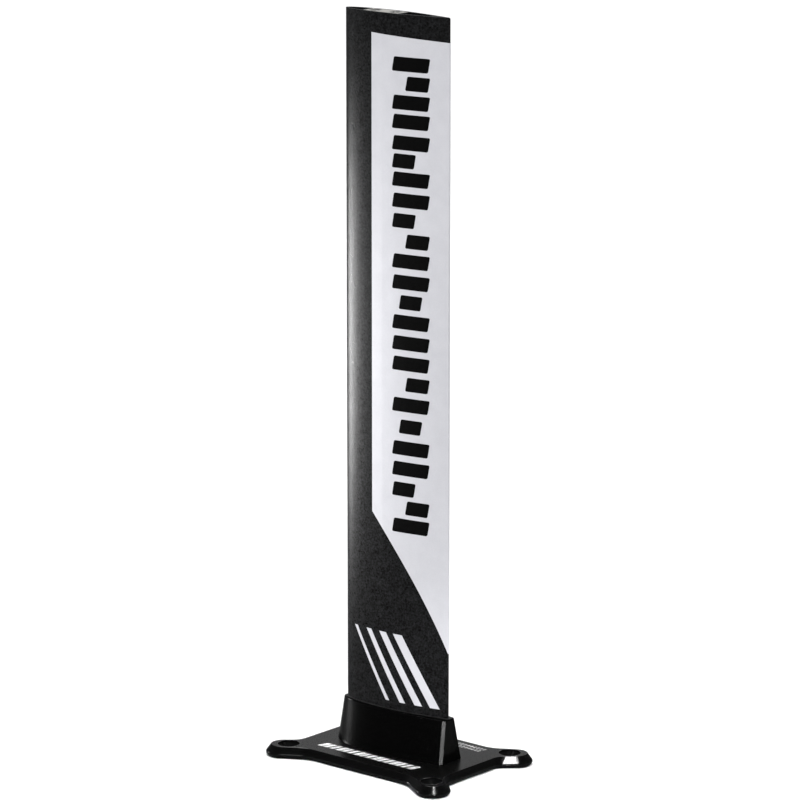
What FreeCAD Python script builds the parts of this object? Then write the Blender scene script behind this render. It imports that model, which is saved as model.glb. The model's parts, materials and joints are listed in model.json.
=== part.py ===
import FreeCAD, Part
import math
import os

from FreeCAD import Vector

# A short hydrofoil mast standing on its board plate. Millimetres.
# Origin: centre of the plate's underside. +Z runs up the mast, -X is the leading
# edge, +X the trailing edge, and -Y and +Y are the two flanks.

# Board plate
PLATE_T = 8.5
PLATE_HALF_X = 72.0
PLATE_HALF_Y = 47.3
BOLT_SPACING_X = 140.0
BOLT_SPACING_Y = 90.0
BOLT_HOLE_R = 4.5
BOLT_HEAD_R = 8.25
BOLT_HEAD_SINK = 1.5
EAR_X = 73.5
EAR_Y = 47.5
EAR_R = 13.4
EAR_LONG_TURN = 32.0
EAR_SHORT_TURN = 48.0
EAR_BLEND_LONG_R = 20.0
EAR_BLEND_SHORT_R = 8.0
SIDE_TOP_INSET = 2.2
EAR_TOP_INSET = 4.4
PLATE_TOP_ROUND = 0.5
PLATE_BELT_Z = 2.6
PLATE_BELT_ROUND = 2.0
PLATE_FOOT_INSET = 2.0

# Mast section: an elliptical nose and a tapering tail
MAST_TOP = 559.5
MAST_CORNER_R = 2.0
CHORD = 98.0
THICKNESS = 17.0
LEADING_X = -49.8
TRAILING_HALF = 0.8
NOSE_LEN = 0.42 * CHORD
TAIL_LEN = CHORD - NOSE_LEN - TRAILING_HALF
NOSE_X = LEADING_X + NOSE_LEN

# Hollow cells inside the extrusion
WALL = 2.2
WEB = 2.2
WEB_FRONT_X = -31.0
WEB_REAR_X = 4.0
TAIL_CELL_END_X = 30.0

# Collar around the foot of the mast
COLLAR_TOP = 40.4
COLLAR_GAP = 0.1
COLLAR_TOP_WALL = 2.8
COLLAR_DRAFT_SIDE = 10.2
COLLAR_DRAFT_NOSE = 4.0
COLLAR_END_X_TOP = 49.6
COLLAR_END_HALF_TOP = 6.6
COLLAR_END_X_BASE = 51.4
COLLAR_END_HALF_BASE = 12.4
COLLAR_END_CUT = 1.9
COLLAR_TAPER = 1.35
COLLAR_RIM_ROUND = 1.1

# Inserts, screws and plugs
SCREW_X = (-22.0, -3.0)
FOOT_INSERT_LEN = 40.0
HEAD_INSERT_LEN = 45.0
SLEEVE_LEN = 22.0
SLEEVE_R = 4.75
M8_R = 4.0
M8_THREAD_R = 3.4
M8_HEAD_R = 8.0
M8_CLEAR_R = 4.4
M8_LEN = 30.0
M8_KEY = 5.0
M5_R = 2.5
M5_THREAD_R = 2.1
M5_HEAD_R = 4.8
M5_CLEAR_R = 2.8
M5_LEN = 15.8
M5_KEY = 3.0
HEAD_RECESS = 0.2
DRILL_RUNOUT = 6.0
DRILL_R = 3.0
COLLAR_SCREWS = ((-36.0, 11.0), (16.0, 12.0))
PLUG_LEN = 14.0
NOSE_PLUG_RECESS = 12.0
TAIL_PLUG_RECESS = 1.5

# Films on the flanks
FILM_T = 0.15
PANEL_FRONT_X = -18.7
PANEL_REAR_X = LEADING_X + CHORD + 1.0
PANEL_FRONT_TOP = 544.6
PANEL_REAR_TOP = 541.5
PANEL_FRONT_BOTTOM = 189.5
PANEL_REAR_BOTTOM = 88.5
PANEL_BOTTOM_BOW = 4.6
STRIPE_WIDTHS = (8.0, 6.4, 4.8, 3.2)
STRIPE_PITCH = 13.0
STRIPE_FIRST_X = 33.5
STRIPE_BOTTOM = 47.0
STRIPE_TOP = 99.0
STRIPE_LEAN = 0.62


def direction(angle):
    """Unit vector in the XY plane at an angle in degrees from +X."""
    turn = math.radians(angle)
    return Vector(math.cos(turn), math.sin(turn), 0)


def arc(centre, radius, start, end):
    """Arc in the XY plane from angle start to angle end, in degrees."""
    angles = (start, 0.5 * (start + end), end)
    points = [centre + direction(angle) * radius for angle in angles]
    return Part.Arc(*points).toShape()


def line(a, b):
    return Part.LineSegment(a, b).toShape()


def cylinder(x, y, z0, z1, radius):
    return Part.makeCylinder(radius, z1 - z0, Vector(x, y, z0))


def cone(x, y, z0, r0, z1, r1):
    return Part.makeCone(r0, r1, z1 - z0, Vector(x, y, z0))


def save(shape, name):
    shape.exportStep("parts/%s.step" % name)


# ---------------------------------------------------------------- mast section

def tail_curve(grow):
    """Upper half of the tail, raised by grow."""
    poles = [
        Vector(NOSE_X, THICKNESS / 2 + grow, 0),
        Vector(NOSE_X + 0.36 * TAIL_LEN, THICKNESS / 2 + grow, 0),
        Vector(NOSE_X + 0.75 * TAIL_LEN, 3.7 + grow, 0),
        Vector(NOSE_X + TAIL_LEN, TRAILING_HALF + grow, 0),
    ]
    curve = Part.BezierCurve()
    curve.setPoles(poles)
    return curve


def tail_parameter(x):
    """Parameter at which the tail curve reaches x."""
    curve = tail_curve(0)
    low = 0.0
    high = 1.0
    for _ in range(40):
        middle = 0.5 * (low + high)
        if curve.value(middle).x < x:
            low = middle
        else:
            high = middle
    return middle


def foil_face(grow, end_x=None):
    """Mast section offset by grow, closed by a round edge or cut square at end_x."""
    nose = Part.Ellipse(Vector(NOSE_X, 0, 0), NOSE_LEN + grow, THICKNESS / 2 + grow)
    nose_edge = Part.ArcOfEllipse(nose, math.pi / 2, 3 * math.pi / 2).toShape()
    end = 1.0 if end_x is None else tail_parameter(end_x)
    upper = tail_curve(grow).toShape(0.0, end)
    lower = upper.mirror(Vector(0, 0, 0), Vector(0, 1, 0))
    tip = tail_curve(grow).value(end)
    tip_low = Vector(tip.x, -tip.y, 0)
    if end_x is None:
        closing = Part.Arc(tip, Vector(tip.x + tip.y, 0, 0), tip_low).toShape()
    else:
        closing = line(tip, tip_low)
    wire = Part.Wire(Part.__sortEdges__([nose_edge, upper, closing, lower]))
    return Part.Face(wire)


def foil_prism(grow, z0, z1, end_x=None):
    face = foil_face(grow, end_x)
    face.translate(Vector(0, 0, z0))
    return face.extrude(Vector(0, 0, z1 - z0))


def cell(x0, x1, z0, z1):
    """Part of the hollow core between x0 and x1."""
    core = foil_prism(-WALL, z0, z1, TAIL_CELL_END_X)
    box = Part.makeBox(x1 - x0, THICKNESS, z1 - z0, Vector(x0, -THICKNESS / 2, z0))
    return core.common(box)


def nose_cell(z0, z1):
    return cell(LEADING_X, WEB_FRONT_X, z0, z1)


def middle_cell(z0, z1):
    return cell(WEB_FRONT_X + WEB, WEB_REAR_X, z0, z1)


def tail_cell(z0, z1):
    return cell(WEB_REAR_X + WEB, TAIL_CELL_END_X, z0, z1)


def rear_corner():
    """What the rounding takes off the mast's rear top corner."""
    x = LEADING_X + CHORD - MAST_CORNER_R
    z = MAST_TOP - MAST_CORNER_R
    start = Vector(x, -THICKNESS / 2, z)
    block = Part.makeBox(2 * MAST_CORNER_R, THICKNESS, 2 * MAST_CORNER_R, start)
    return block.cut(Part.makeCylinder(MAST_CORNER_R, THICKNESS, start, Vector(0, 1, 0)))


def mast_extrusion():
    body = foil_prism(0, PLATE_T, MAST_TOP).cut(rear_corner())
    for hollow in (nose_cell, middle_cell, tail_cell):
        body = body.cut(hollow(PLATE_T, MAST_TOP))
    return body


# ---------------------------------------------------------------- plate

def ear_edges(side_inset, ear_inset):
    """Outline of one quarter of the plate, from the long side to the short, pulled in by the insets."""
    ear = Vector(EAR_X, EAR_Y, 0)
    half_x = PLATE_HALF_X - side_inset
    half_y = PLATE_HALF_Y - side_inset
    ear_r = EAR_R - ear_inset
    long_r = EAR_BLEND_LONG_R + ear_inset
    short_r = EAR_BLEND_SHORT_R + ear_inset
    long_out = direction(90 + EAR_LONG_TURN)
    short_out = direction(-EAR_SHORT_TURN)
    long_y = half_y + long_r
    along = (ear_r + long_r - long_out.y * (long_y - EAR_Y)) / long_out.x
    long_centre = Vector(EAR_X + along, long_y, 0)
    short_x = half_x + short_r
    along = (ear_r + short_r - short_out.x * (short_x - EAR_X)) / short_out.y
    short_centre = Vector(short_x, EAR_Y + along, 0)
    return [
        line(Vector(0, half_y, 0), Vector(long_centre.x, half_y, 0)),
        arc(long_centre, long_r, -90, EAR_LONG_TURN - 90),
        line(long_centre - long_out * long_r, ear + long_out * ear_r),
        arc(ear, ear_r, 90 + EAR_LONG_TURN, -EAR_SHORT_TURN),
        line(ear + short_out * ear_r, short_centre - short_out * short_r),
        arc(short_centre, short_r, 180 - EAR_SHORT_TURN, 180),
        line(Vector(half_x, short_centre.y, 0), Vector(half_x, 0, 0)),
    ]


def plate_wire(z, side_inset, ear_inset):
    quarter = ear_edges(side_inset, ear_inset)
    half = quarter + [edge.mirror(Vector(0, 0, 0), Vector(1, 0, 0)) for edge in quarter]
    whole = half + [edge.mirror(Vector(0, 0, 0), Vector(0, 1, 0)) for edge in half]
    wire = Part.Wire(Part.__sortEdges__(whole))
    wire.translate(Vector(0, 0, z))
    return wire


def plate_blank():
    """Plate whose edge slopes out from its top face to a belt and tucks in to its foot."""
    foot = plate_wire(0.0, PLATE_FOOT_INSET, PLATE_FOOT_INSET)
    belt = plate_wire(PLATE_BELT_Z, 0.0, 0.0)
    top = plate_wire(PLATE_T, SIDE_TOP_INSET, EAR_TOP_INSET)
    blank = Part.makeLoft([foot, belt, top], True, True).removeSplitter()
    for height, radius in ((PLATE_T, PLATE_TOP_ROUND), (PLATE_BELT_Z, PLATE_BELT_ROUND)):
        rim = []
        for edge in blank.Edges:
            box = edge.BoundBox
            if abs(box.ZMin - height) < 0.01 and abs(box.ZMax - height) < 0.01:
                rim.append(edge)
        blank = blank.makeFillet(radius, rim)
    return blank


def bolt_hole(x, y):
    """Countersunk hole for a board screw, let in from above."""
    slope = BOLT_HEAD_R - BOLT_HOLE_R
    seat = PLATE_T - BOLT_HEAD_SINK
    tool = cylinder(x, y, -1, PLATE_T, BOLT_HOLE_R)
    tool = tool.fuse(cone(x, y, seat - slope, BOLT_HOLE_R, seat, BOLT_HEAD_R))
    return tool.fuse(cylinder(x, y, seat, PLATE_T + 1, BOLT_HEAD_R))


def screw_hole(x, y, head_r, clear_r):
    """Hole countersunk from the underside."""
    top = head_r - clear_r + HEAD_RECESS
    tool = cone(x, y, 0, head_r + HEAD_RECESS, top, clear_r)
    return tool.fuse(cylinder(x, y, 0, PLATE_T + 1, clear_r))


def collar_screw_places():
    return [(x, side * y) for x, y in COLLAR_SCREWS for side in (-1, 1)]


def base_plate():
    plate = plate_blank()
    for x in (-BOLT_SPACING_X / 2, BOLT_SPACING_X / 2):
        for y in (-BOLT_SPACING_Y / 2, BOLT_SPACING_Y / 2):
            plate = plate.cut(bolt_hole(x, y))
    for x in SCREW_X:
        plate = plate.cut(screw_hole(x, 0, M8_HEAD_R, M8_CLEAR_R))
    for x, y in collar_screw_places():
        plate = plate.cut(screw_hole(x, y, M5_HEAD_R, M5_CLEAR_R))
    return plate


# ---------------------------------------------------------------- collar

def collar_outline(z, nose_a, half_b, end_x, end_half):
    """Outline with an elliptical nose, easing flanks and a flat tail end with cut corners."""
    cut = COLLAR_END_CUT
    start = Vector(NOSE_X, half_b, 0)
    slope = COLLAR_TAPER * (half_b - end_half) / (end_x - NOSE_X)
    meet = Vector(end_x - cut, end_half, 0)
    run = meet.x - start.x
    flank = Part.BezierCurve()
    flank.setPoles([
        start,
        Vector(start.x + 0.3 * run, half_b, 0),
        Vector(meet.x - 0.45 * run, meet.y + 0.45 * run * slope, 0),
        meet,
    ])
    end_top = Vector(end_x, end_half - cut, 0)
    upper = [flank.toShape(), line(meet, end_top)]
    lower = [edge.mirror(Vector(0, 0, 0), Vector(0, 1, 0)) for edge in upper]
    end_edge = line(end_top, Vector(end_top.x, -end_top.y, 0))
    nose = Part.Ellipse(Vector(NOSE_X, 0, 0), nose_a, half_b)
    nose_edge = Part.ArcOfEllipse(nose, math.pi / 2, 3 * math.pi / 2).toShape()
    wire = Part.Wire(Part.__sortEdges__([nose_edge] + lower + [end_edge] + upper))
    wire.translate(Vector(0, 0, z))
    return wire


def collar():
    top_a = NOSE_LEN + COLLAR_TOP_WALL
    top_b = THICKNESS / 2 + COLLAR_TOP_WALL
    base = collar_outline(PLATE_T, top_a + COLLAR_DRAFT_NOSE, top_b + COLLAR_DRAFT_SIDE,
                          COLLAR_END_X_BASE, COLLAR_END_HALF_BASE)
    top = collar_outline(COLLAR_TOP, top_a, top_b, COLLAR_END_X_TOP, COLLAR_END_HALF_TOP)
    block = Part.makeLoft([base, top], True, True)
    rim = [edge for edge in block.Edges if edge.BoundBox.ZMin > COLLAR_TOP - 0.01]
    block = block.makeFillet(COLLAR_RIM_ROUND, rim)
    block = block.cut(foil_prism(COLLAR_GAP, PLATE_T - 1, COLLAR_TOP + 1))
    for x, y in collar_screw_places():
        tip = HEAD_RECESS + M5_LEN
        block = block.cut(cylinder(x, y, PLATE_T - 1, tip + 1, M5_THREAD_R))
    return block


# ---------------------------------------------------------------- inserts and plugs

def insert(z0, z1, face, inward):
    """Block that fills the middle cell, bored for two thread sleeves from one face."""
    block = middle_cell(z0, z1)
    for x in SCREW_X:
        sleeve_end = face + inward * SLEEVE_LEN
        drill_end = sleeve_end + inward * DRILL_RUNOUT
        low, high = sorted((face, sleeve_end))
        block = block.cut(cylinder(x, 0, low, high, SLEEVE_R))
        low, high = sorted((face, drill_end))
        block = block.cut(cylinder(x, 0, low, high, DRILL_R))
    return block


def foot_insert():
    return insert(PLATE_T, PLATE_T + FOOT_INSERT_LEN, PLATE_T, 1)


def head_insert():
    return insert(MAST_TOP - HEAD_INSERT_LEN, MAST_TOP, MAST_TOP, -1)


def thread_sleeve(x, z0):
    sleeve = cylinder(x, 0, z0, z0 + SLEEVE_LEN, SLEEVE_R)
    return sleeve.cut(cylinder(x, 0, z0, z0 + SLEEVE_LEN, M8_THREAD_R))


def hexagon_socket(x, y, z0, depth, across_flats):
    points = []
    for corner in range(7):
        turn = math.radians(60 * corner)
        radius = across_flats / math.sqrt(3)
        points.append(Vector(x + radius * math.cos(turn), y + radius * math.sin(turn), z0))
    return Part.Face(Part.makePolygon(points)).extrude(Vector(0, 0, depth))


def countersunk_screw(x, y, head_r, shank_r, thread_r, length, key):
    """Screw entering from below; its thread is drawn at the root of the thread."""
    z0 = HEAD_RECESS
    head_top = z0 + head_r - shank_r
    screw = cone(x, y, z0, head_r, head_top, shank_r)
    screw = screw.fuse(cylinder(x, y, head_top, PLATE_T, shank_r))
    screw = screw.fuse(cylinder(x, y, PLATE_T, z0 + length, thread_r))
    return screw.cut(hexagon_socket(x, y, z0, 0.6 * key, key))


def mast_screw(x):
    return countersunk_screw(x, 0, M8_HEAD_R, M8_R, M8_THREAD_R, M8_LEN, M8_KEY)


def collar_screw(x, y):
    return countersunk_screw(x, y, M5_HEAD_R, M5_R, M5_THREAD_R, M5_LEN, M5_KEY)


# ---------------------------------------------------------------- films

def film(outline, side):
    """Thin film on one flank: outline is a face in the XZ plane, side is -1 or 1."""
    prism = outline.extrude(Vector(0, side * THICKNESS, 0))
    sheet = prism.common(foil_prism(FILM_T, PLATE_T, MAST_TOP))
    return sheet.cut(foil_prism(0, PLATE_T, MAST_TOP))


def panel_outline():
    """Tall panel with a slightly falling top edge and a bowed diagonal cut for its lower edge."""
    top_front = Vector(PANEL_FRONT_X, 0, PANEL_FRONT_TOP)
    top_rear = Vector(PANEL_REAR_X, 0, PANEL_REAR_TOP)
    low_rear = Vector(PANEL_REAR_X, 0, PANEL_REAR_BOTTOM)
    low_front = Vector(PANEL_FRONT_X, 0, PANEL_FRONT_BOTTOM)
    cut = low_rear - low_front
    bow = Vector(-cut.z, 0, cut.x).normalize() * PANEL_BOTTOM_BOW
    middle = (low_front + low_rear) * 0.5 + bow
    edges = [
        line(top_front, top_rear),
        line(top_rear, low_rear),
        Part.Arc(low_rear, middle, low_front).toShape(),
        line(low_front, top_front),
    ]
    return Part.Face(Part.Wire(edges))


def stripe_outline(index):
    """One leaning bar of the group of parallel bars."""
    x = STRIPE_FIRST_X - index * STRIPE_PITCH
    lean = STRIPE_LEAN * (STRIPE_TOP - STRIPE_BOTTOM)
    width = STRIPE_WIDTHS[index]
    corners = [
        Vector(x, 0, STRIPE_BOTTOM),
        Vector(x + width, 0, STRIPE_BOTTOM),
        Vector(x + width - lean, 0, STRIPE_TOP),
        Vector(x - lean, 0, STRIPE_TOP),
        Vector(x, 0, STRIPE_BOTTOM),
    ]
    return Part.Face(Part.makePolygon(corners))


# ---------------------------------------------------------------- build

def build():
    os.makedirs("parts", exist_ok=True)
    save(base_plate(), "base_plate")
    save(collar(), "collar")
    save(mast_extrusion(), "mast_extrusion")
    save(foot_insert(), "foot_insert")
    save(head_insert(), "head_insert")
    plugs = (("nose", nose_cell, NOSE_PLUG_RECESS), ("tail", tail_cell, TAIL_PLUG_RECESS))
    for name, hollow, recess in plugs:
        top = MAST_TOP - recess
        save(hollow(top - PLUG_LEN, top), "%s_plug_head" % name)
        save(hollow(PLATE_T, PLATE_T + PLUG_LEN), "%s_plug_foot" % name)
    for number, x in enumerate(SCREW_X, 1):
        save(mast_screw(x), "mast_screw_%d" % number)
        save(thread_sleeve(x, PLATE_T), "foot_thread_sleeve_%d" % number)
        save(thread_sleeve(x, MAST_TOP - SLEEVE_LEN), "head_thread_sleeve_%d" % number)
    for number, (x, y) in enumerate(collar_screw_places(), 1):
        save(collar_screw(x, y), "collar_screw_%d" % number)
    for side, name in ((-1, "left"), (1, "right")):
        save(film(panel_outline(), side), "panel_%s" % name)
        for index in range(len(STRIPE_WIDTHS)):
            save(film(stripe_outline(index), side), "stripe_%s_%d" % (name, index + 1))


build()
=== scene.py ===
import json
import math

import bpy
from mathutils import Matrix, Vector
from mathutils.bvhtree import BVHTree


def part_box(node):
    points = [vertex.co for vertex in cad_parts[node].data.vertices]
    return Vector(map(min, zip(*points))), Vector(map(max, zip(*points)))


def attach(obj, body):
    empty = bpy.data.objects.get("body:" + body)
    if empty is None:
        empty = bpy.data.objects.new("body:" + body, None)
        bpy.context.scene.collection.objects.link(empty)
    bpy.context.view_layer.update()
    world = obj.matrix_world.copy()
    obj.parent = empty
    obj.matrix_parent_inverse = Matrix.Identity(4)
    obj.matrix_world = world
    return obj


# A short hydrofoil mast standing on its board plate, on a pale studio floor.
# Metres, in the CAD frame: +Z up the mast, -X the leading edge, -Y the flank that faces the camera.

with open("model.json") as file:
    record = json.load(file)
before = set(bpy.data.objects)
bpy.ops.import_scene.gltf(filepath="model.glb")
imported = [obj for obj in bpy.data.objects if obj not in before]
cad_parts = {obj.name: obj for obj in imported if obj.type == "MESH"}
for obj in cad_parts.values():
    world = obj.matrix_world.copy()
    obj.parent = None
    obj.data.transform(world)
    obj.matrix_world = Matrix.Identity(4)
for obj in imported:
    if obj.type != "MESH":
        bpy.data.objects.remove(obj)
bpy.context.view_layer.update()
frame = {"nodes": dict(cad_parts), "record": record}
nodes = frame["nodes"]

MM = 0.001
SIDES = (("left", -1), ("right", 1))
SLEEVES = ("head_thread_sleeve_1", "head_thread_sleeve_2")
MOUNT_SIZES = {mount["name"]: mount["dims"] for mount in frame["record"]["mounts"]}
PLATE_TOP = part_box("base_plate")[1].z
COLLAR_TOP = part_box("collar")[1].z
BOARD_HOLE_X = MOUNT_SIZES["board_bolts"]["spacing_x_mm"] / 2 * MM
BOARD_HOLE_Y = MOUNT_SIZES["board_bolts"]["spacing_y_mm"] / 2 * MM


# ------------------------------------------------------------------ node helpers

class Shader:
    """A material's node tree, with short calls for the nodes used here."""

    def __init__(self, name, **constants):
        self.material = bpy.data.materials.new(name)
        self.material.use_nodes = True
        self.tree = self.material.node_tree
        self.shader = self.tree.nodes["Principled BSDF"]
        for socket, value in constants.items():
            self.shader.inputs[socket.replace("_", " ")].default_value = value
        self.place = self.node("ShaderNodeTexCoord").outputs["Object"]

    def node(self, kind, **settings):
        made = self.tree.nodes.new(kind)
        for name, value in settings.items():
            setattr(made, name, value)
        return made

    def link(self, source, target):
        """Joins a socket to target, or gives target a plain number or colour."""
        if isinstance(source, (int, float, tuple)):
            target.default_value = source
        else:
            self.tree.links.new(source, target)

    def set(self, socket, source):
        self.link(source, self.shader.inputs[socket])

    def stretch(self, x=1.0, y=1.0, z=1.0):
        """Object coordinates scaled along each axis."""
        mapping = self.node("ShaderNodeMapping")
        mapping.inputs["Scale"].default_value = (x, y, z)
        self.link(self.place, mapping.inputs["Vector"])
        return mapping.outputs["Vector"]

    def noise(self, size, detail=2.0, place=None, rough=0.5):
        """Noise whose grain is about size metres across, from 0 to 1."""
        made = self.node("ShaderNodeTexNoise")
        made.inputs["Scale"].default_value = 1.0 / size
        made.inputs["Detail"].default_value = detail
        made.inputs["Roughness"].default_value = rough
        self.link(place or self.place, made.inputs["Vector"])
        return made.outputs["Fac"]

    def cells(self, size):
        """Distance from the middle of the nearest cell, where cells are about size metres across."""
        made = self.node("ShaderNodeTexVoronoi")
        made.inputs["Scale"].default_value = 1.0 / size
        self.link(self.place, made.inputs["Vector"])
        return made.outputs["Distance"]

    def math(self, operation, a, b=0.0, clamp=False):
        made = self.node("ShaderNodeMath", operation=operation, use_clamp=clamp)
        self.link(a, made.inputs[0])
        self.link(b, made.inputs[1])
        return made.outputs[0]

    def length(self, a, b):
        """Length of the level vector (a, b)."""
        squares = [self.math("MULTIPLY", side, side) for side in (a, b)]
        return self.math("SQRT", self.math("ADD", *squares))

    def remap(self, value, low, high, to_low=0.0, to_high=1.0):
        made = self.node("ShaderNodeMapRange")
        self.link(value, made.inputs["Value"])
        for socket, number in (("From Min", low), ("From Max", high),
                               ("To Min", to_low), ("To Max", to_high)):
            made.inputs[socket].default_value = number
        return made.outputs["Result"]

    def mix(self, factor, a, b):
        """Colour from a to b. Its colour sockets share their names with others, so they go by place."""
        made = self.node("ShaderNodeMix", data_type="RGBA")
        self.link(factor, made.inputs["Factor"])
        self.link(a, made.inputs[6])
        self.link(b, made.inputs[7])
        return made.outputs[2]

    def axes(self):
        made = self.node("ShaderNodeSeparateXYZ")
        self.link(self.place, made.inputs[0])
        return made.outputs["X"], made.outputs["Y"], made.outputs["Z"]

    def colour(self, value, low, high, dark, light):
        """Base colour from dark to light as value goes from low to high."""
        self.set("Base Color", self.mix(self.remap(value, low, high), dark, light))

    def roughness(self, value, low, high, least, most):
        """Roughness from least to most as value goes from low to high."""
        self.set("Roughness", self.remap(value, low, high, least, most))

    def bump(self, height, depth, strength, under=None):
        """Bump of the given depth in metres; under is a bump to add to."""
        made = self.node("ShaderNodeBump")
        made.inputs["Distance"].default_value = depth
        made.inputs["Strength"].default_value = strength
        self.link(height, made.inputs["Height"])
        if under is not None:
            self.link(under, made.inputs["Normal"])
        return made.outputs["Normal"]


def grey(value, tint=(1.0, 1.0, 1.0)):
    return (value * tint[0], value * tint[1], value * tint[2], 1.0)


# ------------------------------------------------------------------ materials

COOL = (0.96, 0.98, 1.06)
WARM = (1.0, 0.98, 0.95)

# The worn lip round each board hole, and how far down from the plate's top it and the top face reach
LIP_R = 8.35 * MM
LIP_WIDTH = 0.35 * MM
LIP_DEPTH = 0.5 * MM
LIP_WEAR = 0.5
TOP_FACE_DEPTH = 0.05 * MM
TOP_FACE_DULLNESS = 0.16


def mast_black():
    """Black anodised extrusion with a fine speckle and faint lines from the die."""
    s = Shader("mast_black", Specular_IOR_Level=0.08)
    speckle = s.noise(1.6 * MM, 4.0, rough=0.7)
    cloud = s.noise(7 * MM, 2.0)
    die = s.noise(0.7 * MM, 1.0, s.stretch(z=0.01))
    tone = s.math("ADD", s.math("MULTIPLY", speckle, 0.85), s.math("MULTIPLY", cloud, 0.15))
    s.colour(tone, 0.42, 0.66, grey(0.0035), grey(0.023, COOL))
    s.roughness(tone, 0.35, 0.65, 0.26, 0.42)
    fine = s.bump(speckle, 0.16 * MM, 0.6)
    s.set("Normal", s.bump(die, 0.02 * MM, 0.5, fine))
    return s.material


def collar_black():
    """Satin black anodised block, with faint level lines left by the cutter."""
    s = Shader("collar_black", Specular_IOR_Level=0.12)
    speckle = s.noise(0.8 * MM, 2.0)
    pass_lines = s.noise(0.6 * MM, 0.0, s.stretch(x=0.02, y=0.02))
    s.colour(speckle, 0.35, 0.65, grey(0.0002), grey(0.0016))
    s.roughness(speckle, 0.3, 0.7, 0.13, 0.20)
    fine = s.bump(speckle, 0.04 * MM, 0.4)
    s.set("Normal", s.bump(pass_lines, 0.02 * MM, 0.35, fine))
    return s.material


def plate_black():
    """Black anodised plate: a satin top, smoother edges, and worn lips at the top of the board holes."""
    s = Shader("plate_black", Specular_IOR_Level=0.28)
    across, along, up = s.axes()
    dx = s.math("SUBTRACT", s.math("ABSOLUTE", across), BOARD_HOLE_X)
    dy = s.math("SUBTRACT", s.math("ABSOLUTE", along), BOARD_HOLE_Y)
    off_lip = s.math("ABSOLUTE", s.math("SUBTRACT", s.length(dx, dy), LIP_R))
    lip = s.remap(off_lip, 0.0, LIP_WIDTH, 1.0, 0.0)
    patchy = s.remap(s.noise(4 * MM, 2.0), 0.42, 0.62)
    at_top = s.math("GREATER_THAN", up, PLATE_TOP - LIP_DEPTH)
    worn = s.math("MULTIPLY", lip, patchy)
    wear = s.math("MULTIPLY", worn, s.math("MULTIPLY", at_top, LIP_WEAR), clamp=True)
    speckle = s.noise(0.7 * MM, 2.0)
    base = s.mix(s.remap(speckle, 0.3, 0.7), grey(0.0003), grey(0.0022))
    s.set("Base Color", s.mix(wear, base, grey(0.22)))
    top_face = s.math("GREATER_THAN", up, PLATE_TOP - TOP_FACE_DEPTH)
    polish = s.remap(speckle, 0.3, 0.7, 0.10, 0.16)
    s.set("Roughness", s.math("ADD", polish, s.math("MULTIPLY", top_face, TOP_FACE_DULLNESS)))
    milling = s.noise(0.6 * MM, 0.0, s.stretch(y=0.03))
    fine = s.bump(speckle, 0.03 * MM, 0.4)
    s.set("Normal", s.bump(milling, 0.012 * MM, 0.4, fine))
    return s.material


def film_white():
    """Satin white vinyl with a very slight orange peel."""
    s = Shader("film_white", Specular_IOR_Level=0.4)
    cloud = s.noise(12 * MM, 3.0)
    fine = s.noise(0.9 * MM, 2.0)
    tone = s.math("ADD", s.math("MULTIPLY", cloud, 0.6), s.math("MULTIPLY", fine, 0.4))
    s.colour(tone, 0.35, 0.65, (0.66, 0.66, 0.70, 1.0), (0.71, 0.71, 0.75, 1.0))
    s.roughness(fine, 0.3, 0.7, 0.36, 0.46)
    s.set("Normal", s.bump(fine, 0.02 * MM, 0.4))
    return s.material


def ink_black():
    """Black ink on the white film, a little glossier than it."""
    s = Shader("ink_black", Specular_IOR_Level=0.07)
    grain = s.noise(0.6 * MM, 2.0)
    s.colour(grain, 0.3, 0.7, grey(0.001), grey(0.004))
    s.roughness(grain, 0.3, 0.7, 0.28, 0.38)
    s.set("Normal", s.bump(grain, 0.01 * MM, 0.4))
    return s.material


def ink_white():
    """White ink on the plate, slightly uneven where it thins."""
    s = Shader("ink_white", Specular_IOR_Level=0.3, Roughness=0.5)
    grain = s.noise(1.0 * MM, 3.0)
    s.colour(grain, 0.3, 0.6, grey(0.42), grey(0.82))
    s.set("Normal", s.bump(grain, 0.01 * MM, 0.4))
    return s.material


def raw_aluminium():
    """Natural aluminium, with saw lines across the end and a warm dull film."""
    s = Shader("raw_aluminium", Metallic=1.0)
    saw = s.noise(0.4 * MM, 1.0, s.stretch(y=0.03))
    stain = s.noise(6 * MM, 3.0)
    s.colour(stain, 0.35, 0.65, (0.82, 0.79, 0.72, 1.0), (0.93, 0.92, 0.89, 1.0))
    s.roughness(saw, 0.3, 0.7, 0.28, 0.44)
    s.set("Normal", s.bump(saw, 0.03 * MM, 0.6))
    return s.material


def stainless():
    """Stainless steel with a fine grain and faint smears."""
    s = Shader("stainless", Metallic=1.0)
    grain = s.noise(0.3 * MM, 1.0)
    smear = s.noise(3 * MM, 2.0)
    s.colour(smear, 0.3, 0.7, grey(0.52), grey(0.66, WARM))
    s.roughness(grain, 0.3, 0.7, 0.22, 0.36)
    s.set("Normal", s.bump(grain, 0.01 * MM, 0.5))
    return s.material


def plug_foam():
    """Dark closed-cell foam, cut with a knife so that its cells show."""
    s = Shader("plug_foam", Specular_IOR_Level=0.2, Roughness=0.85)
    pores = s.cells(0.7 * MM)
    s.colour(pores, 0.1, 0.6, grey(0.010), grey(0.045))
    s.set("Normal", s.bump(pores, 0.3 * MM, 0.8))
    return s.material


def sealant():
    """Black sealant, skinned over, with a slight sheen."""
    s = Shader("sealant", Specular_IOR_Level=0.25)
    grain = s.noise(1.2 * MM, 2.0)
    s.colour(grain, 0.3, 0.7, grey(0.003), grey(0.008))
    s.roughness(grain, 0.3, 0.7, 0.45, 0.6)
    s.set("Normal", s.bump(grain, 0.1 * MM, 0.5))
    return s.material


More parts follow.
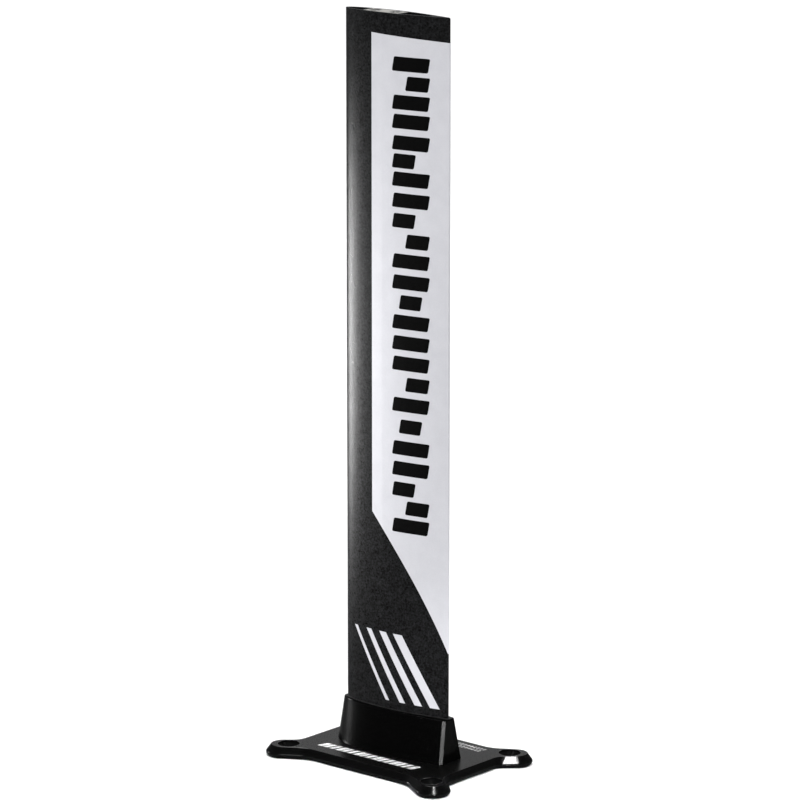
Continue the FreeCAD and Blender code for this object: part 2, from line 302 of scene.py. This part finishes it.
def studio_floor():
    """Pale seamless paper. To glossy rays it shows dark grey, a painted dark reflection as if black flags
    stood round the foot.
    """
    s = Shader("studio_floor", Specular_IOR_Level=0.1, Roughness=0.9)
    fibre = s.noise(4 * MM, 3.0)
    paper = s.mix(s.remap(fibre, 0.3, 0.7), grey(0.86), grey(0.90))
    mirrored = s.node("ShaderNodeLightPath").outputs["Is Glossy Ray"]
    # Painted reflection: seen in glossy reflections, the floor's colour is dark grey (0.15) instead of pale
    # paper.
    s.set("Base Color", s.mix(mirrored, paper, grey(0.15)))
    return s.material


FINISHES = {
    "mast_black": mast_black(),
    "collar_black": collar_black(),
    "plate_black": plate_black(),
    "film_white": film_white(),
    "raw_aluminium": raw_aluminium(),
    "stainless": stainless(),
    "plug_foam": plug_foam(),
}
INK_BLACK = ink_black()
INK_WHITE = ink_white()
SEALANT = sealant()


def finish_nodes():
    """Gives every CAD node the material of its slot in the record."""
    for part in frame["record"]["subparts"]:
        shown = nodes[part["node"]]
        material = FINISHES[part["material_slot"]]
        if not shown.material_slots:
            shown.data.materials.append(material)
        for slot in shown.material_slots:
            slot.material = material


# ------------------------------------------------------------------ mesh helpers

OUTSIDE = 100 * MM      # rays at a flank start this far out from the mast's middle plane


def piece(name, points, faces, material, smooth=True):
    """A new object that rides on the root body."""
    mesh = bpy.data.meshes.new(name)
    mesh.from_pydata(points, [], faces)
    mesh.materials.append(material)
    mesh.polygons.foreach_set("use_smooth", [smooth] * len(faces))
    mesh.update()
    made = bpy.data.objects.new(name, mesh)
    bpy.context.scene.collection.objects.link(made)
    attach(made, "root")


def surface(name):
    """A CAD node's surface, for rays to be cast at."""
    return BVHTree.FromObject(nodes[name], bpy.context.evaluated_depsgraph_get())


def flank_hit(tree, side, x, z):
    """The point on a flank at (x, z), and the level direction out of it."""
    hit, normal, _, _ = tree.ray_cast(Vector((x, side * OUTSIDE, z)), Vector((0, -side, 0)))
    return hit, Vector((normal.x, normal.y, 0)).normalized()


def steps(count):
    return [index / count for index in range(count + 1)]


def tube_faces(rings, size, closed=False, flipped=False):
    """Faces of a tube of rings of size points each; closed joins its ends, flipped turns each face over."""
    faces = []
    for ring in range(rings if closed else rings - 1):
        following = (ring + 1) % rings
        for number in range(size):
            after = (number + 1) % size
            corners = [(ring, number), (following, number), (following, after), (ring, after)]
            if flipped:
                corners = corners[:1] + corners[:0:-1]
            faces.append([r * size + n for r, n in corners])
    return faces


class Group:
    """Collects several solids into one mesh."""

    def __init__(self):
        self.points = []
        self.faces = []

    def add(self, points, faces):
        first = len(self.points)
        self.points += points
        self.faces += [[first + index for index in face] for face in faces]


# ------------------------------------------------------------------ ink

INK_T = 0.04 * MM
INK_SINK = 0.02 * MM


def ink_slab(columns, rows, place):
    """Closed thin slab, sunk a little into its surface: place(s, t, rise) is a point, with s and t 0 to 1."""
    points = [place(s, t, rise) for rise in (INK_T, -INK_SINK) for t in rows for s in columns]
    faces = []
    width = len(columns)
    layer = width * len(rows)
    last_column = width - 1
    last_row = len(rows) - 1

    def at(level, row, column):
        return level * layer + row * width + column

    for row in range(last_row):
        for column in range(last_column):
            ring = [(row, column), (row, column + 1), (row + 1, column + 1), (row + 1, column)]
            faces.append([at(0, r, c) for r, c in ring])
            faces.append([at(1, r, c) for r, c in reversed(ring)])
    edge = [(0, c) for c in range(width)]
    edge += [(r, last_column) for r in range(1, last_row + 1)]
    edge += [(last_row, c) for c in range(last_column - 1, -1, -1)]
    edge += [(r, 0) for r in range(last_row - 1, 0, -1)]
    for (r0, c0), (r1, c1) in zip(edge, edge[1:] + edge[:1]):
        faces.append([at(0, r1, c1), at(0, r0, c0), at(1, r0, c0), at(1, r1, c1)])
    return points, faces


# ------------------------------------------------------------------ printed marks on the panels

MARK_FRONT = 1.5 * MM
MARK_REAR = 32.0 * MM
MARK_TOP = 529.0 * MM
MARK_GAP = 5.0 * MM
BAR = 10.5 * MM
BAR_RADIUS = 1.2 * MM
BAR_LEAN = 0.18
BAR_STEPS = 14
# length of each block along the mast in millimetres, and how its bars run across the column
BLOCKS = (
    (52, ("full", "rear", "full", "full")),
    (37, ("full", "front", "full")),
    (55, ("full", "front", "rear", "full")),
    (40, ("full", "middle", "full")),
    (41, ("full", "full", "rear")),
    (43, ("full", "middle", "full")),
    (10.5, ("full",)),
    (38, ("front", "rear", "full")),
)
SPANS = {"full": (0.0, 1.0), "front": (0.0, 0.62), "rear": (0.38, 1.0), "middle": (0.2, 0.8)}


def rounded_rows(height, radius, count=4):
    """Values of t from 0 to 1, closer together over each rounded end."""
    end = radius / height
    turn = [end * (1 - math.cos(math.pi / 2 * index / count)) for index in range(count)]
    middle = [end + (1 - 2 * end) * step for step in steps(count)]
    return turn + middle + [1 - value for value in reversed(turn)]


def inset(t, height, radius):
    """How far a bar's end is pulled in at t by its corner radius."""
    from_edge = min(t, 1 - t) * height
    if from_edge >= radius:
        return 0.0
    return radius - math.sqrt(max(0.0, radius ** 2 - (radius - from_edge) ** 2))


def panel_marks(name, side):
    """A column of blocks of leaning bars, printed on the white film."""
    tree = surface("panel_" + name)
    group = Group()
    rows = rounded_rows(BAR, BAR_RADIUS)
    width = MARK_REAR - MARK_FRONT
    top = MARK_TOP
    for length, spans in BLOCKS:
        pitch = (length * MM - BAR) / max(1, len(spans) - 1)
        for number, span in enumerate(spans):
            bar_top = top - number * pitch
            low, high = SPANS[span]
            front = MARK_FRONT + low * width
            rear = MARK_FRONT + high * width

            def place(s, t, rise, front=front, rear=rear, bar_top=bar_top):
                pull = inset(t, BAR, BAR_RADIUS)
                slant = BAR_LEAN * BAR * (0.5 - t)
                x = front + pull + slant + s * (rear - front - 2 * pull)
                hit, outward = flank_hit(tree, side, x, bar_top - t * BAR)
                return hit + outward * rise

            group.add(*ink_slab(steps(BAR_STEPS), rows, place))
        top -= length * MM + MARK_GAP
    piece("panel_marks_" + name, group.points, group.faces, INK_BLACK, smooth=False)


# ------------------------------------------------------------------ printed marks on the plate

NEAR_BARS = 16
NEAR_X = -51.0 * MM
NEAR_Y = -34.0 * MM
NEAR_PITCH = 5.8 * MM
NEAR_LENGTH = 3.4 * MM
NEAR_LONG_LENGTH = 4.6 * MM     # of every third bar
NEAR_HEIGHT = 8.6 * MM
NEAR_LEAN = 0.35

FAR_ROWS = 2
FAR_BARS = 9
FAR_X = 24.5 * MM
FAR_Y = 31.6 * MM
FAR_PITCH = 3.1 * MM
FAR_ROW_SHIFT = 1.2 * MM
FAR_ROW_PITCH = 4.9 * MM
FAR_LENGTH = 1.0 * MM
FAR_HEIGHT = 3.1 * MM
FAR_LEAN = 0.3


def plate_bar(group, corner, length, height, lean):
    """One leaning bar on the plate's top face, from its front corner towards +X and +Y."""
    def place(s, t, rise):
        x = corner[0] + s * length + lean * height * t
        return Vector((x, corner[1] + height * t, PLATE_TOP + rise))

    group.add(*ink_slab(steps(1), steps(1), place))


def plate_marks():
    """A long row of bars near one edge and two short rows of small ones near the other."""
    near = Group()
    for number in range(NEAR_BARS):
        length = NEAR_LENGTH if number % 3 else NEAR_LONG_LENGTH
        plate_bar(near, (NEAR_X + NEAR_PITCH * number, NEAR_Y), length, NEAR_HEIGHT, NEAR_LEAN)
    piece("plate_marks_near", near.points, near.faces, INK_WHITE, smooth=False)
    far = Group()
    for row in range(FAR_ROWS):
        for number in range(FAR_BARS):
            x = FAR_X + FAR_PITCH * number + FAR_ROW_SHIFT * row
            plate_bar(far, (x, FAR_Y + FAR_ROW_PITCH * row), FAR_LENGTH, FAR_HEIGHT, FAR_LEAN)
    piece("plate_marks_far", far.points, far.faces, INK_WHITE, smooth=False)


# ------------------------------------------------------------------ sealant and threads

OUTLINE_POINTS = 180
OUTLINE_REACH = 0.9995      # of half the chord, so that no ray misses the mast at its two edges
BEAD_R = 0.55 * MM
BEAD_SIDES = 10

THREAD_WALL_R = MOUNT_SIZES["fuselage_thread_front"]["r_mm"] * MM
THREAD_CREST_R = 3.05 * MM
THREAD_SINK = 0.05 * MM
THREAD_START = 1.2 * MM
THREAD_PITCH = 1.25 * MM
THREAD_TURNS = 12
THREAD_STEPS = 36           # in one turn
THREAD_ROOT_HALF = 0.45     # of the pitch
THREAD_CREST_HALF = 0.08    # of the pitch


def mast_outline(z):
    """Points round the outside of the mast at height z, each with its level direction out."""
    tree = surface("mast_extrusion")
    low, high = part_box("mast_extrusion")
    middle = (low.x + high.x) / 2
    half_chord = (high.x - low.x) / 2
    outline = []
    for index in range(OUTLINE_POINTS):
        turn = 2 * math.pi * index / OUTLINE_POINTS
        side = 1 if math.sin(turn) >= 0 else -1
        outline.append(flank_hit(tree, side, middle + half_chord * OUTLINE_REACH * math.cos(turn), z))
    return outline


def sealant_bead():
    """A thin bead of sealant where the mast enters the collar."""
    points = []
    for hit, outward in mast_outline(COLLAR_TOP):
        for number in range(BEAD_SIDES):
            turn = 2 * math.pi * number / BEAD_SIDES
            up = Vector((0, 0, BEAD_R * math.sin(turn)))
            points.append(hit + outward * (BEAD_R * math.cos(turn)) + up)
    faces = tube_faces(OUTLINE_POINTS, BEAD_SIDES, closed=True)
    piece("sealant_bead", points, faces, SEALANT)


def thread_ridge(name):
    """The helical crest of the thread inside one sleeve."""
    low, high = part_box(name)
    centre = (low + high) / 2
    root_r = THREAD_WALL_R + THREAD_SINK
    profile = ((root_r, THREAD_ROOT_HALF), (THREAD_CREST_R, THREAD_CREST_HALF),
               (THREAD_CREST_R, -THREAD_CREST_HALF), (root_r, -THREAD_ROOT_HALF))
    rings = THREAD_TURNS * THREAD_STEPS + 1
    points = []
    for index in range(rings):
        turn = 2 * math.pi * index / THREAD_STEPS
        z = high.z - THREAD_START - THREAD_PITCH * index / THREAD_STEPS
        for radius, offset in profile:
            x = centre.x + radius * math.cos(turn)
            y = centre.y + radius * math.sin(turn)
            points.append(Vector((x, y, z + offset * THREAD_PITCH)))
    size = len(profile)
    faces = tube_faces(rings, size, flipped=True)
    first_end = list(range(size))
    faces.append(first_end)
    faces.append([(rings - 1) * size + number for number in reversed(first_end)])
    piece(name.replace("sleeve", "ridge"), points, faces, FINISHES["stainless"])


# ------------------------------------------------------------------ studio

AZIMUTH = math.radians(40.62)
PITCH = math.radians(12.687)
CAMERA_DISTANCE = 2.9375
CAMERA_HEIGHT = 0.9359
CAMERA_OFFSET = 0.00087
LENS = 185.08
SENSOR_WIDTH = 36.0
CLIP_END = 100.0

FLOOR_HALF = 20.0
ROOM_STRENGTH = 0.10
ROOM_COLOUR = (0.96, 0.98, 1.0, 1.0)
BACKDROP_COLOUR = (1.0, 1.0, 1.0, 1.0)
FULL_SPREAD = 180
# name, degrees round from the camera, distance, height, aim, size, radiance, spread in degrees
SOFT_BOXES = (
    ("rim", -115, 0.8, 0.18, (0, 0, 0.27), (0.07, 0.26), 225, 36),
    ("top_box", 8, 0.75, 1.15, (0.06, -0.05, 0), (0.30, 0.16), 170, 15),
    ("ear_box", 29, 0.75, 1.15, (0.073, 0.047, 0), (0.26, 0.16), 75, 12),
    ("low_box", 9, 1.0, 0.13, (0.03, 0, 0.02), (0.09, 0.18), 230, 8),
    ("front_wash", -20, 1.6, 1.1, (0, 0, 0.46), (0.5, 0.5), 22, 30),
    ("back_card", 180, 2.5, 0.70, (0, 0, 0.3), (2.4, 0.5), 0.6, FULL_SPREAD),
)


def around(azimuth_from_camera, distance, height):
    """A place at an angle round the object from the camera, in degrees to its right."""
    turn = AZIMUTH + math.radians(azimuth_from_camera)
    return Vector((math.sin(turn) * distance, -math.cos(turn) * distance, height))


def soft_box(name, azimuth, distance, height, aim, size, radiance, spread):
    """An area light of the given radiance straight ahead, unseen by the camera; spread is its full angle."""
    data = bpy.data.lights.new(name, "AREA")
    data.shape = "RECTANGLE"
    data.size, data.size_y = size
    data.energy = radiance * math.pi * size[0] * size[1]
    if spread < FULL_SPREAD:
        half = math.radians(spread / 2)
        data.spread = 2 * half
        data.energy *= (math.tan(half) - half) / math.tan(half)
    made = bpy.data.objects.new(name, data)
    made.location = around(azimuth, distance, height)
    made.rotation_euler = (Vector(aim) - made.location).to_track_quat("-Z", "Y").to_euler()
    made.visible_camera = False
    bpy.context.scene.collection.objects.link(made)


def sun_light(strength, elevation, azimuth, softness):
    """An even wash over the whole floor; azimuth is round from the camera, and all angles are in degrees."""
    data = bpy.data.lights.new("wash", "SUN")
    data.energy = strength
    data.angle = math.radians(softness)
    made = bpy.data.objects.new("wash", data)
    rise = math.radians(elevation)
    toward = around(azimuth, math.cos(rise), math.sin(rise))
    made.rotation_euler = toward.to_track_quat("Z", "Y").to_euler()
    bpy.context.scene.collection.objects.link(made)


def room_light():
    """A dim even room that the camera itself sees as a white backdrop."""
    world = bpy.data.worlds.new("studio")
    world.use_nodes = True
    tree = world.node_tree
    room = tree.nodes["Background"]
    room.inputs["Color"].default_value = ROOM_COLOUR
    room.inputs["Strength"].default_value = ROOM_STRENGTH
    backdrop = tree.nodes.new("ShaderNodeBackground")
    backdrop.inputs["Color"].default_value = BACKDROP_COLOUR
    path = tree.nodes.new("ShaderNodeLightPath")
    choice = tree.nodes.new("ShaderNodeMixShader")
    tree.links.new(path.outputs["Is Camera Ray"], choice.inputs[0])
    tree.links.new(room.outputs[0], choice.inputs[1])
    tree.links.new(backdrop.outputs[0], choice.inputs[2])
    tree.links.new(choice.outputs[0], tree.nodes["World Output"].inputs[0])
    bpy.context.scene.world = world


def floor():
    """A level sheet under the object, wide enough to fill the view."""
    mesh = bpy.data.meshes.new("studio_floor")
    half = FLOOR_HALF
    corners = [(-half, -half, 0), (half, -half, 0), (half, half, 0), (-half, half, 0)]
    mesh.from_pydata(corners, [], [[0, 1, 2, 3]])
    mesh.materials.append(studio_floor())
    made = bpy.data.objects.new("studio_floor", mesh)
    bpy.context.scene.collection.objects.link(made)


def studio():
    floor()
    room_light()
    sun_light(strength=3.75, elevation=76, azimuth=-155, softness=35)
    for box in SOFT_BOXES:
        soft_box(*box)


def camera():
    data = bpy.data.cameras.new("camera")
    data.lens = LENS
    data.sensor_width = SENSOR_WIDTH
    data.clip_end = CLIP_END
    made = bpy.data.objects.new("camera", data)
    right = Vector((math.cos(AZIMUTH), math.sin(AZIMUTH), 0))
    back = Vector((math.sin(AZIMUTH), -math.cos(AZIMUTH), 0))
    made.location = right * CAMERA_OFFSET + back * CAMERA_DISTANCE + Vector((0, 0, CAMERA_HEIGHT))
    made.rotation_euler = (math.pi / 2 - PITCH, 0, AZIMUTH)
    bpy.context.scene.collection.objects.link(made)
    bpy.context.scene.camera = made
    bpy.context.scene.view_settings.view_transform = "Standard"


# ------------------------------------------------------------------ build

finish_nodes()
for side_name, side_sign in SIDES:
    panel_marks(side_name, side_sign)
plate_marks()
sealant_bead()
for sleeve in SLEEVES:
    thread_ridge(sleeve)
studio()
camera()
